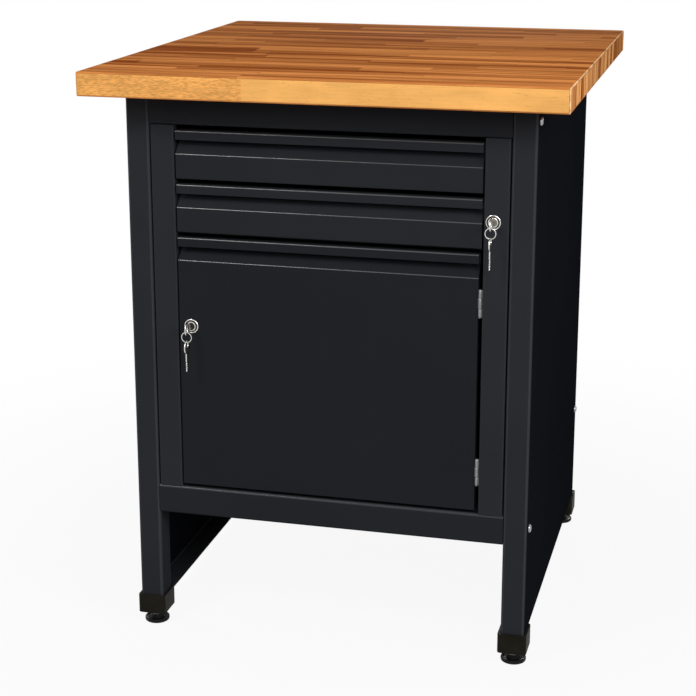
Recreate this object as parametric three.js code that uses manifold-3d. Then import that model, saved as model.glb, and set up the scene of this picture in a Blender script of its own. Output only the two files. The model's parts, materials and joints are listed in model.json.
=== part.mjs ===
import * as THREE from 'three';
import { mergeVertices } from 'three/addons/utils/BufferGeometryUtils.js';
import Module from 'manifold-3d';

const wasm = await Module();
wasm.setup();

// Millimetres. X runs to the right, Y to the back and Z up; the origin lies on the floor
// under the middle of the worktop.

// Worktop: laminated beech board.
const benchHeight = 870;
const worktopWidth = 700;
const worktopDepth = 750;
const worktopThickness = 35;
const worktopArris = 2;

// Frame: two folded side frames, each with a front leg, a panel and a rear leg in one sheet.
const sideOverhang = 50;
const frontOverhang = 60;
const rearOverhang = 90;
const legWidth = 35;
const legDepth = 40;
const frameSheet = 2;
const frameBend = 3.5;
const seamGap = 0.6;
const panelFootZ = 42;
const worktopScrewHole = 3;

// Rails: folded channels bolted between the legs.
const railHeight = 45;
const railDepth = 30;
const underClearance = 190;
const boltRadius = 3;
const boltHeadRadius = 6;
const boltHeadHeight = 3.6;
const boltHeadEdge = 1.2;
const boltShoulderRadius = 5.2;
const boltShoulderHeight = 2.7;
const boltCrownRadius = 3.6;
const boltSocketRadius = 2.4;
const boltSocketDepth = 2;
const weldNutRadius = 6;
const weldNutHeight = 5.5;
const boltEndReach = 1.5;

// Feet: plastic shoes over the leg ends, with screw feet for levelling.
const capLift = 20;
const capBase = 3;
const capHeight = 30;
const capWall = 4;
const capCorner = 5;
const capBossRadius = 9;
const capBossHeight = 18;
const footRadius = 19;
const footPadHeight = 6;
const footConeHeight = 4;
const footNeckRadius = 9;
const footHexRadius = 8.6;
const footHexHeight = 7;
const footStemRadius = 5;
const footStemLength = 30;
const footEdge = 1.5;
const footRimWidth = 2.4;
const footDish = 1.6;

// Cabinet: folded sheet walls with stiles in front.
const sheet = 1.2;
const sheetBend = 2;
const cabinetGap = 0.5;
const cabinetSideGap = 2;
const cabinetSetback = 15;
const stileWidth = 35.5;
const stileReturn = 15;
const backFlange = 15;
const sideFlange = 20;

// Drawer fronts and door: folded grip along the top edge.
const frontGap = 2.5;
const frontSpacing = 8;
const headGap = 7.5;
const doorFootGap = 5;
const drawerFrontHeight = 71;
const gripLip = 13.5;
const gripDepth = 18;
const gripSlopeTop = 15;
const gripCrease = 34.5;
const frontReturn = 12;

// Drawer trays and their runners.
const trayInset = 3.5;
const trayFlange = 10;
const trayDepth = 500;
const trayHeight = 52;
const trayLift = 4;
const trayHeadGap = 3;
const runnerGap = 1.2;
const runnerPlay = 1;
const runnerSetback = 28.5;
const runnerLength = 505;

// Door hinges.
const hingeGap = 6;
const hingeLength = 40;
const hingeEndKnuckle = 12;
const hingeBarrelRadius = 2.5;
const hingePinRadius = 1.45;
const hingePinHead = 0.8;
const hingePinHeadRadius = 2.2;
const hingeLeafWidth = 13;
const hingeRelief = 0.4;
const hingeInset = 60;
const hingeTopInset = 71;

// Cam locks, their keys and key rings.
const doorLockInset = 18.5;
const doorLockHeight = 250.5;
const drawerLockInset = 13.5;
const lockBezelRadius = 11;
const lockBezelHeight = 2.2;
const lockCollarHeight = 3.4;
const lockBodyRadius = 8;
const lockBodyLength = 17;
const lockEdge = 0.7;
const lockNutRadius = 10.8;
const lockNutHeight = 4;
const plugRadius = 5.4;
const plugReach = 20.6;
const plugSquare = 3.2;
const camThickness = 2;
const camHubRadius = 7.5;
const camTipRadius = 6;
const camReach = 28;
const keyThickness = 1.8;
const keyBowRadius = 10;
const keyBowCentre = 19.5;
const keyHoleRadius = 4.6;
const keyHoleOffset = 4;
const keyBladeWidth = 7.5;
const keyBladeLength = 18;
const keyNotchDepth = 1.6;
const keyNotches = 4;
const keyRingRadius = 7.6;
const keyRingWire = 0.7;
const hangGap = 0.3;

// Central locking of the drawers: cam pin, lock bar, guides and the catches on the trays.
const camPinThrow = 9;
const camPinRadius = 2;
const camPinReach = 3.4;
const camPinPlay = 0.6;
const camRestAngle = Math.PI / 4;
const barThickness = 2;
const barEdge = 3;
const barFoot = 34;
const barTabHeight = 8;
const barTabGap = 2.5;
const catchRelease = 1.5;
const catchReach = 7;
const catchHeight = 8;
const catchZ = 30;
const catchSetback = 25.5;
const guideLowerDrop = 24;
const guideUpperRise = 42;
const guideMargin = 3;
const guideFlange = 14;

// Fits and roundness.
const fitGap = 0.3;
const fuse = 0.5;
const bendSteps = 3;
const roundSides = 24;
const boltSides = 12;
const hexSides = 6;
const holeSides = 8;
const quarterTurn = Math.PI / 2;

// Levels and planes that follow from the sizes above.
const frontY = frontOverhang - worktopDepth / 2;
const rearY = worktopDepth / 2 - rearOverhang;
const outerX = worktopWidth / 2 - sideOverhang;
const innerX = outerX - legWidth;
const undersideZ = benchHeight - worktopThickness;
const legFootZ = capLift + capBase;
const bottomRailTopZ = underClearance + railHeight;
const topRailFootZ = undersideZ - railHeight;
const cabinetX = innerX - cabinetSideGap;
const cabinetTopZ = topRailFootZ - cabinetGap;
const cabinetRearY = rearY - cabinetSetback;
const openingX = cabinetX - stileWidth;
const insideX = cabinetX - sheet - fitGap;
const behindStileY = frontY + stileReturn + fitGap;
const frontX = openingX - frontGap;
const frontThickness = gripDepth + sheet;
const drawerPitch = drawerFrontHeight + frontSpacing;
const upperDrawerZ = cabinetTopZ - headGap - drawerFrontHeight;
const lowerDrawerZ = upperDrawerZ - drawerPitch;
const doorTopZ = lowerDrawerZ - frontSpacing;
const doorFootZ = bottomRailTopZ + doorFootGap;
const doorHeight = doorTopZ - doorFootZ;
const trayFlangeX = openingX - trayInset;
const trayX = trayFlangeX - trayFlange;
const trayFlangeZ = trayLift + trayHeight;
const doorLockX = doorLockInset - frontX;
const doorLockZ = doorFootZ + doorLockHeight;
const drawerLockX = openingX + drawerLockInset;
const drawerLockZ = lowerDrawerZ + drawerFrontHeight / 2 + frontSpacing / 2;

// Painted steel, beech, plastic and plated metal.
const frameSteel = { color: 0x2e3034, roughness: 0.55, metalness: 0.35 };
const cabinetSteel = { color: 0x2a2c30, roughness: 0.55, metalness: 0.35 };
const frontSteel = { color: 0x27292d, roughness: 0.5, metalness: 0.35 };
const beech = { color: 0xc08346, roughness: 0.5, metalness: 0 };
const shoePlastic = { color: 0x2a251f, roughness: 0.7, metalness: 0 };
const footPlastic = { color: 0x141414, roughness: 0.6, metalness: 0 };
const zincSteel = { color: 0xb9bbbd, roughness: 0.35, metalness: 0.9 };
const nickel = { color: 0xcfcdc6, roughness: 0.2, metalness: 1 };
const keySteel = { color: 0xc4c1b8, roughness: 0.28, metalness: 1 };

// Makes a closed geometry into a solid that can be joined and cut.
function solid(geometry) {
  const bare = geometry.clone();
  bare.deleteAttribute('normal');
  bare.deleteAttribute('uv');
  const merged = mergeVertices(bare);
  const points = new Float32Array(merged.attributes.position.array);
  const source = merged.index.array;
  const faces = [];
  for (let i = 0; i < source.length; i += 3) {
    const [a, b, c] = source.slice(i, i + 3);
    if (a !== b && b !== c && c !== a) faces.push(a, b, c);
  }
  const mesh = new wasm.Mesh({ numProp: 3, vertProperties: points, triVerts: new Uint32Array(faces) });
  return new wasm.Manifold(mesh);
}

// Adds a solid to its group as a named piece with its own finish.
function piece(group, name, body, finish) {
  const { vertProperties, triVerts } = body.getMesh();
  const geometry = new THREE.BufferGeometry();
  geometry.setAttribute('position', new THREE.BufferAttribute(new Float32Array(vertProperties), 3));
  geometry.setIndex(new THREE.BufferAttribute(new Uint32Array(triVerts), 1));
  geometry.computeVertexNormals();
  const mesh = new THREE.Mesh(geometry, new THREE.MeshStandardMaterial(finish));
  mesh.name = name;
  group.add(mesh);
  return mesh;
}

// A box between two opposite corners.
function block(low, high) {
  const size = high.map((value, i) => value - low[i]);
  const middle = high.map((value, i) => (value + low[i]) / 2);
  return solid(new THREE.BoxGeometry(...size).translate(...middle));
}

// A round or many-sided bar along one axis; at holds the two other coordinates in axis order.
function rod(axis, radius, from, to, at, sides = roundSides) {
  const geometry = new THREE.CylinderGeometry(radius, radius, to - from, sides);
  const middle = (from + to) / 2;
  if (axis === 'x') geometry.rotateZ(-quarterTurn).translate(middle, at[0], at[1]);
  if (axis === 'y') geometry.translate(at[0], middle, at[1]);
  if (axis === 'z') geometry.rotateX(quarterTurn).translate(at[0], at[1], middle);
  return solid(geometry);
}

// A section drawn in the plane across an axis, drawn out along that axis.
function extrude(shape, axis, from, to, curveSegments = roundSides / 2) {
  const geometry = new THREE.ExtrudeGeometry(shape, {
    depth: to - from,
    bevelEnabled: false,
    curveSegments,
  });
  const x = new THREE.Vector3(1, 0, 0);
  const y = new THREE.Vector3(0, 1, 0);
  const z = new THREE.Vector3(0, 0, 1);
  const turn = new THREE.Matrix4();
  if (axis === 'x') geometry.applyMatrix4(turn.makeBasis(y, z, x)).translate(from, 0, 0);
  if (axis === 'y') geometry.applyMatrix4(turn.makeBasis(x, z, y.negate())).translate(0, to, 0);
  if (axis === 'z') geometry.translate(0, 0, from);
  return solid(geometry);
}

// A turned piece: radius and height pairs, closed on the axis or on themselves.
function turned(profile, sides = roundSides) {
  const points = profile.map(([radius, height]) => new THREE.Vector2(radius, height));
  return new THREE.LatheGeometry(points, sides);
}

// Points along a folded sheet with rounded bends. The corners trace one face and the sheet lies
// to the left of them; offset moves the line into the sheet.
function foldedLine(corners, offset, thickness, bend) {
  const path = corners.map(([u, v]) => new THREE.Vector2(u, v));
  const line = [];
  path.forEach((corner, i) => {
    const before = path[i - 1] ?? corner;
    const after = path[i + 1] ?? corner;
    const arriving = corner.clone().sub(before).normalize();
    const leaving = after.clone().sub(corner).normalize();
    if (before === corner) arriving.copy(leaving);
    if (after === corner) leaving.copy(arriving);
    const normal = new THREE.Vector2(-arriving.y, arriving.x);
    const turn = Math.atan2(arriving.cross(leaving), arriving.dot(leaving));
    if (before === corner || after === corner) {
      line.push(corner.clone().addScaledVector(normal, offset));
      return;
    }
    const inward = Math.sign(turn);
    const radius = inward > 0 ? bend : bend - thickness;
    const start = corner.clone().addScaledVector(arriving, -radius * Math.tan(Math.abs(turn) / 2));
    const centre = start.clone().addScaledVector(normal, inward * radius);
    for (let step = 0; step <= bendSteps; step += 1) {
      const spoke = normal.clone().multiplyScalar(-inward);
      spoke.rotateAround(new THREE.Vector2(), (turn * step) / bendSteps);
      line.push(centre.clone().addScaledVector(spoke, radius - inward * offset));
    }
  });
  return line;
}

// The closed section of a folded sheet.
function foldedSection(corners, thickness, bend) {
  const near = foldedLine(corners, 0, thickness, bend);
  const far = foldedLine(corners, thickness, thickness, bend).reverse();
  return new THREE.Shape([...near, ...far]);
}

// Corners drawn for the right-hand side, or mirrored for the left.
function sided(side, corners) {
  const placed = corners.map(([u, v]) => [side * u, v]);
  return side > 0 ? placed : placed.reverse();
}

// Two values, the lower one first.
function ordered(a, b) {
  return [Math.min(a, b), Math.max(a, b)];
}

// A closed outline through straight corners.
function outline(corners) {
  return new THREE.Shape(corners.map(([u, v]) => new THREE.Vector2(u, v)));
}

// A rectangle with rounded corners about the origin.
function roundedRectangle(width, depth, radius) {
  const shape = new THREE.Shape();
  const x = width / 2 - radius;
  const y = depth / 2 - radius;
  shape.absarc(x, y, radius, 0, quarterTurn);
  shape.absarc(-x, y, radius, quarterTurn, 2 * quarterTurn);
  shape.absarc(-x, -y, radius, 2 * quarterTurn, 3 * quarterTurn);
  shape.absarc(x, -y, radius, 3 * quarterTurn, 4 * quarterTurn);
  return shape;
}

function worktop() {
  const x = worktopWidth / 2 - worktopArris;
  const y = worktopDepth / 2 - worktopArris;
  const plan = outline([[-x, -y], [x, -y], [x, y], [-x, y]]);
  const geometry = new THREE.ExtrudeGeometry(plan, {
    depth: worktopThickness - 2 * worktopArris,
    bevelEnabled: true,
    bevelSize: worktopArris,
    bevelThickness: worktopArris,
    bevelSegments: bendSteps,
  });
  return solid(geometry.translate(0, 0, undersideZ + worktopArris));
}

// Bolt places in a side frame, as Y and Z pairs.
const boltPlaces = {
  front_top: [frontY + legDepth / 2, undersideZ - railHeight / 2],
  front_bottom: [frontY + legDepth / 2, underClearance + railHeight / 2],
  rear_top: [rearY - legDepth / 2, undersideZ - railHeight / 2],
  rear_bottom: [rearY - legDepth / 2, underClearance + railHeight / 2],
};

function sideFrame(side) {
  const seamX = outerX - frameSheet - seamGap;
  const plan = sided(side, [
    [seamX, frontY + legDepth],
    [innerX, frontY + legDepth],
    [innerX, frontY],
    [outerX, frontY],
    [outerX, rearY],
    [innerX, rearY],
    [innerX, rearY - legDepth],
    [seamX, rearY - legDepth],
  ]);
  const spread = ordered(0, side * worktopWidth);
  const between = block(
    [spread[0], frontY + legDepth, 0],
    [spread[1], rearY - legDepth, benchHeight],
  );
  const legs = extrude(foldedSection(plan, frameSheet, frameBend), 'z', legFootZ, undersideZ);
  const panelSection = foldedSection(
    sided(side, [
      [innerX, panelFootZ],
      [outerX, panelFootZ],
      [outerX, undersideZ],
      [innerX, undersideZ],
    ]),
    frameSheet,
    frameBend,
  );
  const panel = extrude(panelSection, 'y', frontY + legDepth - fuse, rearY - legDepth + fuse);
  let frame = legs.subtract(between);
  frame = frame.add(panel);
  const shoeReach = capWall + 2 * fitGap;
  const shoeTopZ = capLift + capHeight + fitGap;
  for (const y of [frontY + legDepth, rearY - legDepth - shoeReach]) {
    frame = frame.subtract(block([spread[0], y, 0], [spread[1], y + shoeReach, shoeTopZ]));
  }
  const drill = ordered(side * (innerX - fuse), side * (outerX + fuse));
  for (const place of Object.values(boltPlaces)) {
    frame = frame.subtract(rod('x', boltRadius + 2 * fitGap, ...drill, place, holeSides));
  }
  for (const share of [1 / 4, 3 / 4]) {
    const at = [side * (outerX - legWidth / 2), frontY + (rearY - frontY) * share];
    const low = undersideZ - frameSheet - fuse;
    frame = frame.subtract(rod('z', worktopScrewHole, low, undersideZ + fuse, at, holeSides));
  }
  return frame;
}

function rail(facing, footZ) {
  const faceY = facing < 0 ? frontY : rearY;
  const openY = faceY - facing * railDepth;
  const topZ = footZ + railHeight;
  const corners = [
    [openY, topZ],
    [faceY, topZ],
    [faceY, footZ],
    [openY, footZ],
  ];
  if (facing > 0) corners.reverse();
  const endX = innerX - fitGap;
  let channel = extrude(foldedSection(corners, frameSheet, frameBend), 'x', -endX, endX);
  const boltY = faceY - facing * (legDepth / 2);
  const boltZ = footZ + railHeight / 2;
  const low = Math.min(faceY, openY) + frameSheet / 2;
  const high = Math.max(faceY, openY) - frameSheet / 2;
  const boltAt = [boltY, boltZ];
  for (const side of [-1, 1]) {
    const ends = ordered(side * endX, side * (endX - frameSheet));
    const nut = ordered(side * (endX - fuse), side * (endX - frameSheet - weldNutHeight));
    const drill = ordered(side * (endX + fuse), side * (endX - railHeight));
    const plate = block(
      [ends[0], low, footZ + frameSheet / 2],
      [ends[1], high, topZ - frameSheet / 2],
    );
    channel = channel.add(plate);
    channel = channel.add(rod('x', weldNutRadius, ...nut, boltAt, hexSides));
    channel = channel.subtract(rod('x', boltRadius + 2 * fitGap, ...drill, boltAt, holeSides));
  }
  return channel;
}

function bolt(side) {
  const shank = legWidth + fitGap + frameSheet + weldNutHeight + boltEndReach;
  const geometry = turned([
    [0, -shank],
    [boltRadius, -shank],
    [boltRadius, 0],
    [boltHeadRadius, 0],
    [boltHeadRadius, boltHeadEdge],
    [boltShoulderRadius, boltShoulderHeight],
    [boltCrownRadius, boltHeadHeight],
    [0, boltHeadHeight],
  ], boltSides);
  geometry.rotateZ(-side * quarterTurn);
  const depth = ordered(side * (boltHeadHeight - boltSocketDepth), side * (boltHeadHeight + fuse));
  return solid(geometry).subtract(rod('x', boltSocketRadius, ...depth, [0, 0], hexSides));
}

function footCap() {
  const width = legWidth + 2 * fitGap;
  const depth = legDepth + 2 * fitGap;
  const outer = roundedRectangle(width + 2 * capWall, depth + 2 * capWall, capCorner);
  let cap = extrude(outer, 'z', capLift, capLift + capHeight, bendSteps / 2);
  const hollow = block(
    [-width / 2, -depth / 2, legFootZ],
    [width / 2, depth / 2, capLift + capHeight + fuse],
  );
  cap = cap.subtract(hollow);
  cap = cap.add(rod('z', capBossRadius, legFootZ - fuse, legFootZ + capBossHeight, [0, 0]));
  const bore = footStemRadius + fitGap;
  return cap.subtract(rod('z', bore, capLift - fuse, legFootZ + capBossHeight + fuse, [0, 0]));
}

function levellingFoot() {
  const padTop = footPadHeight + footConeHeight;
  const rimX = footRadius - footRimWidth;
  const pad = turned([
    [0, 0],
    [footRadius - footEdge, 0],
    [footRadius, footEdge],
    [footRadius, footPadHeight],
    [rimX, footPadHeight],
    [rimX - footDish, footPadHeight - footDish],
    [footNeckRadius + footDish, footPadHeight - footDish],
    [footNeckRadius, padTop],
    [0, padTop],
  ]).rotateX(quarterTurn);
  const hexTop = padTop + footHexHeight;
  let foot = solid(pad);
  foot = foot.add(rod('z', footHexRadius, padTop - fuse, hexTop, [0, 0], hexSides));
  return foot.add(rod('z', footStemRadius, padTop, hexTop + footStemLength, [0, 0], boltSides));
}

function cabinetSide(side) {
  const plan = sided(side, [
    [openingX, frontY + stileReturn],
    [openingX, frontY],
    [cabinetX, frontY],
    [cabinetX, cabinetRearY],
    [cabinetX - backFlange, cabinetRearY],
  ]);
  let wall = extrude(foldedSection(plan, sheet, sheetBend), 'z', bottomRailTopZ, cabinetTopZ);
  const edges = ordered(side * (openingX + sheet / 2), side * (cabinetX - sheet / 2));
  const stileHead = block(
    [edges[0], frontY + sheet / 2, cabinetTopZ - sheet],
    [edges[1], frontY + stileReturn, cabinetTopZ],
  );
  wall = wall.add(stileHead);
  if (side < 0) return wall;
  const hole = lockBodyRadius + fitGap;
  const lockAt = [drawerLockX, drawerLockZ];
  return wall.subtract(rod('y', hole, frontY - fuse, frontY + sheet + fuse, lockAt));
}

function cabinetFloor() {
  const section = foldedSection(
    [
      [-insideX, bottomRailTopZ + sideFlange],
      [-insideX, bottomRailTopZ],
      [insideX, bottomRailTopZ],
      [insideX, bottomRailTopZ + sideFlange],
    ],
    sheet,
    sheetBend,
  );
  return extrude(section, 'y', behindStileY, cabinetRearY - sheet - fitGap);
}

function cabinetDivider() {
  const topZ = doorTopZ + (frontSpacing + sheet) / 2;
  const section = foldedSection(
    [
      [insideX, topZ - sideFlange],
      [insideX, topZ],
      [-insideX, topZ],
      [-insideX, topZ - sideFlange],
    ],
    sheet,
    sheetBend,
  );
  return extrude(section, 'y', behindStileY, cabinetRearY - 2 * sheet - fitGap);
}

function cabinetBack() {
  const faceY = cabinetRearY - sheet;
  const footZ = bottomRailTopZ + sheet + fitGap;
  const dividerZ = doorTopZ + (frontSpacing + sheet) / 2;
  const halfWidth = insideX - sheet - fitGap;
  const section = foldedSection(
    [
      [faceY - backFlange, footZ],
      [faceY, footZ],
      [faceY, cabinetTopZ],
      [faceY - backFlange, cabinetTopZ],
    ],
    sheet,
    sheetBend,
  );
  const back = extrude(section, 'x', -halfWidth, halfWidth);
  const dividerSlot = block(
    [-outerX, faceY - backFlange - sheet, dividerZ - sheet - fitGap],
    [outerX, faceY - sheet, dividerZ + fitGap],
  );
  return back.subtract(dividerSlot);
}

function runner(side, drawerZ) {
  const lipTopZ = drawerZ + trayFlangeZ - fitGap;
  const lowZ = lipTopZ - sheet;
  const highZ = drawerZ + trayFlangeZ + sheet + runnerPlay + sheet;
  const lipX = trayX + runnerGap;
  const section = foldedSection(
    sided(side, [
      [lipX, lowZ],
      [insideX, lowZ],
      [insideX, highZ],
      [lipX, highZ],
    ]),
    sheet,
    sheetBend,
  );
  const startY = frontY + runnerSetback;
  return extrude(section, 'y', startY, startY + runnerLength);
}

// A front with a folded grip, between two X values; its front face lies at Y = 0, its foot at Z = 0.
function gripFront(leftX, rightX, height) {
  const grip = [
    [gripDepth, height - sheet],
    [gripDepth, height - gripSlopeTop],
    [0, height - gripCrease],
    [0, 0],
    [frontThickness, 0],
  ];
  const corners = [
    [sheet, height - gripLip],
    [sheet, height - sheet],
    ...grip,
    [frontThickness, frontReturn],
  ];
  let front = extrude(foldedSection(corners, sheet, sheetBend), 'x', leftX, rightX);
  const end = foldedLine(grip, 0, sheet, sheetBend);
  end.push(new THREE.Vector2(frontThickness, height - sheetBend));
  const endShape = new THREE.Shape(end);
  front = front.add(extrude(endShape, 'x', leftX, leftX + sheet));
  return front.add(extrude(endShape, 'x', rightX - sheet, rightX));
}

function tray() {
  const section = foldedSection(
    [
      [-trayFlangeX, trayFlangeZ],
      [-trayX, trayFlangeZ],
      [-trayX, trayLift],
      [trayX, trayLift],
      [trayX, trayFlangeZ],
      [trayFlangeX, trayFlangeZ],
    ],
    sheet,
    sheetBend,
  );
  const startY = frontThickness;
  const endY = startY + trayDepth;
  const insetX = trayX - sheet / 2;
  const lowZ = trayLift + sheet / 2;
  let body = extrude(section, 'y', startY + sheet / 2, endY - sheet / 2);
  const headZ = drawerFrontHeight - trayHeadGap;
  body = body.add(block([-insetX, startY, lowZ], [insetX, startY + sheet, headZ]));
  body = body.add(block([-insetX, endY - sheet, lowZ], [insetX, endY, trayFlangeZ]));
  const catchPlate = block(
    [insetX, catchSetback, catchZ],
    [trayX + catchReach, catchSetback + sheet, catchZ + catchHeight],
  );
  return body.add(catchPlate);
}

function door() {
  const rightX = openingX - hingeGap;
  const panel = gripFront(-frontX, rightX, doorHeight);
  const hole = lockBodyRadius + fitGap;
  return panel.subtract(rod('y', hole, -fuse, sheet + fuse, [doorLockX, doorLockHeight]));
}

// One leaf of a door hinge about the pin axis: side 1 sits on the stile, side -1 on the door.
function hingeLeaf(side) {
  const half = hingeLength / 2;
  const joint = half - hingeEndKnuckle;
  const spans = side > 0
    ? [[-half, -joint], [joint, half]]
    : [[fitGap - joint, joint - fitGap]];
  const faces = ordered(side * (hingeGap / 2), side * (hingeGap / 2 - sheet));
  const nearY = hingeBarrelRadius + hingeRelief;
  let leaf = block([faces[0], nearY, -half], [faces[1], hingeLeafWidth, half]);
  for (const [low, high] of spans) {
    leaf = leaf.add(rod('z', hingeBarrelRadius, low, high, [0, 0], boltSides));
    leaf = leaf.add(block([faces[0], 0, low], [faces[1], nearY + fuse, high]));
  }
  const bore = hingePinRadius + fitGap / 2;
  return leaf.subtract(rod('z', bore, -hingeLength, hingeLength, [0, 0], boltSides));
}

function hingePin() {
  const half = hingeLength / 2 + fitGap;
  const end = half + hingePinHead;
  const geometry = turned([
    [0, -end],
    [hingePinHeadRadius, -end],
    [hingePinHeadRadius, -half],
    [hingePinRadius, -half],
    [hingePinRadius, half],
    [hingePinHeadRadius, half],
    [hingePinHeadRadius, end],
    [0, end],
  ], boltSides);
  return solid(geometry.rotateX(quarterTurn));
}

// Lock pieces lie about their own axis along Y, with the front of the sheet at Y = 0.
function lockHousing() {
  const bore = plugRadius + fitGap;
  const collar = lockBodyRadius - lockEdge;
  const geometry = turned([
    [bore, lockBodyLength],
    [bore, -lockCollarHeight],
    [collar - lockEdge, -lockCollarHeight],
    [collar, lockEdge - lockCollarHeight],
    [collar, -lockBezelHeight / 2],
    [lockBodyRadius, -lockBezelHeight / 2],
    [lockBodyRadius + lockEdge, -lockBezelHeight],
    [lockBezelRadius - lockEdge, -lockBezelHeight],
    [lockBezelRadius, lockEdge - lockBezelHeight],
    [lockBezelRadius, 0],
    [lockBodyRadius, 0],
    [lockBodyRadius, lockBodyLength],
    [bore, lockBodyLength],
  ]);
  return solid(geometry);
}

function lockNut() {
  const low = sheet;
  const high = sheet + lockNutHeight;
  const hole = rod('y', lockBodyRadius + fitGap, low - fuse, high + fuse, [0, 0]);
  return rod('y', lockNutRadius, low, high, [0, 0], hexSides).subtract(hole);
}

function lockPlug() {
  const faceY = lockEdge - lockCollarHeight;
  const endY = plugReach + camThickness;
  let plug = rod('y', plugRadius, faceY, plugReach - fitGap, [0, 0]);
  plug = plug.add(block([-plugSquare, plugReach - fuse, -plugSquare], [plugSquare, endY, plugSquare]));
  const halfWidth = keyThickness / 2 + fitGap;
  const halfHeight = keyBladeWidth / 2 + fitGap;
  const slot = block(
    [-halfWidth, faceY - fuse, -halfHeight],
    [halfWidth, keyBladeLength + fitGap, halfHeight],
  );
  return plug.subtract(slot);
}

// A cam: hub and rounded tip joined by tapering sides, its tip at an angle from straight down.
function lockCam(reach, tipRadius, angle) {
  const tip = new THREE.Vector2(-Math.sin(angle) * reach, -Math.cos(angle) * reach);
  const along = tip.clone().normalize();
  const across = new THREE.Vector2(-along.y, along.x);
  const corner = (centre, radius, sign) => centre.clone().addScaledVector(across, sign * radius);
  const axis = new THREE.Vector2();
  const arm = new THREE.Shape([
    corner(axis, camHubRadius, 1),
    corner(axis, camHubRadius, -1),
    corner(tip, tipRadius, -1),
    corner(tip, tipRadius, 1),
  ]);
  const endY = plugReach + camThickness;
  let cam = extrude(arm, 'y', plugReach, endY);
  cam = cam.add(rod('y', camHubRadius, plugReach, endY, [0, 0]));
  cam = cam.add(rod('y', tipRadius, plugReach, endY, [tip.x, tip.y]));
  const square = plugSquare + fitGap;
  return cam.subtract(block([-square, plugReach - fuse, -square], [square, endY + fuse, square]));
}

// Central-lock cam: a short arm with a drive pin behind it.
function drawerLockCam() {
  const pinX = -Math.cos(camRestAngle) * camPinThrow;
  const pinZ = -Math.sin(camRestAngle) * camPinThrow;
  const backY = plugReach + camThickness;
  const cam = lockCam(camPinThrow, 2 * camPinRadius, quarterTurn - camRestAngle);
  return cam.add(rod('y', camPinRadius, backY - fuse, backY + camPinReach, [pinX, pinZ], boltSides));
}

// A flat key: the blade points along +Y from the lock face, the bow stands in front of it.
function key() {
  const half = keyThickness / 2;
  const bow = new THREE.Shape().absarc(-keyBowCentre, 0, keyBowRadius, 0, 4 * quarterTurn);
  const holeY = -keyBowCentre - keyHoleOffset;
  bow.holes.push(new THREE.Path().absarc(holeY, 0, keyHoleRadius, 0, 4 * quarterTurn));
  const edge = keyBladeWidth / 2;
  const pitch = keyBladeLength / (keyNotches + 1);
  const rootY = keyBowRadius / 2 - keyBowCentre + fuse;
  const blade = [[rootY, edge], [rootY, -edge]];
  for (let i = 1; i <= keyNotches; i += 1) {
    const middle = i * pitch;
    blade.push([middle - pitch / 2, -edge], [middle, keyNotchDepth - edge]);
  }
  blade.push([keyBladeLength - pitch / 2, -edge], [keyBladeLength, -edge / 2], [keyBladeLength, edge]);
  return extrude(bow, 'x', -half, half).add(extrude(outline(blade), 'x', -half, half));
}

function keyRing() {
  const geometry = new THREE.TorusGeometry(keyRingRadius, keyRingWire, holeSides, roundSides);
  return solid(geometry.rotateX(quarterTurn));
}

function lock(group, name, cam) {
  piece(group, `${name}_lock_housing`, lockHousing(), nickel);
  piece(group, `${name}_lock_nut`, lockNut(), zincSteel);
  piece(group, `${name}_lock_plug`, lockPlug(), nickel);
  piece(group, `${name}_lock_cam`, cam, zincSteel);
  piece(group, `${name}_key`, key(), keySteel);
  const holeY = -keyBowCentre - keyHoleOffset;
  const ringZ = hangGap + keyRingWire - keyHoleRadius - keyRingRadius;
  const spareHoleZ = ringZ - keyRingRadius + keyRingWire + hangGap - keyHoleRadius;
  const ring = piece(group, `${name}_key_ring`, keyRing(), nickel);
  ring.position.set(0, holeY, ringZ);
  const spare = piece(group, `${name}_spare_key`, key(), keySteel);
  spare.rotation.x = -quarterTurn;
  spare.position.set(0, holeY, spareHoleZ + holeY);
}

// The lock bar behind the right-hand stile: a flat strip with a slot for the cam pin and a tab for
// each drawer.
const barFrontY = frontY + plugReach + camThickness + fitGap;
const barRearY = barFrontY + barThickness;
const pinNearX = drawerLockX - camPinThrow;
const pinFarX = drawerLockX - camPinThrow * Math.cos(camRestAngle);
const slotLeftX = pinNearX - camPinRadius - camPinPlay;
const slotRightX = pinFarX + camPinRadius + camPinPlay;
const barLeftX = slotLeftX - barEdge;
const barRightX = slotRightX + barEdge;

function lockBar() {
  const slotZ = drawerLockZ - camPinThrow * Math.sin(camRestAngle);
  const slotHalf = camPinRadius + camPinPlay;
  const tabTop = catchZ - catchRelease;
  const topZ = upperDrawerZ + tabTop;
  let bar = block([barLeftX, barFrontY, drawerLockZ - barFoot - slotHalf], [barRightX, barRearY, topZ]);
  for (const drawerZ of [upperDrawerZ, lowerDrawerZ]) {
    const high = drawerZ + tabTop;
    bar = bar.add(block(
      [trayX + barTabGap, barFrontY, high - barTabHeight],
      [barLeftX + fuse, barRearY, high],
    ));
  }
  return bar.subtract(block(
    [slotLeftX, barFrontY - fuse, slotZ - slotHalf],
    [slotRightX, barRearY + fuse, slotZ + slotHalf],
  ));
}

// A bracket on the cabinet wall with a slot that the lock bar slides through.
function barGuide(footZ) {
  const topZ = footZ + barThickness;
  const plate = block(
    [barLeftX - guideMargin, barFrontY - guideMargin, footZ],
    [insideX, barRearY + guideMargin, topZ],
  );
  const flange = block(
    [insideX - barThickness, barFrontY - guideMargin, topZ - guideFlange],
    [insideX, barRearY + guideMargin, topZ],
  );
  const slot = block(
    [barLeftX - fitGap, barFrontY - fitGap, footZ - fuse],
    [barRightX + fitGap, barRearY + fitGap, topZ + fuse],
  );
  return plate.add(flange).subtract(slot);
}

const bench = new THREE.Group();
bench.name = 'workbench';

// A group that carries pieces together to their place.
function groupAt(x, y, z) {
  const group = new THREE.Group();
  group.position.set(x, y, z);
  bench.add(group);
  return group;
}

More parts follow.
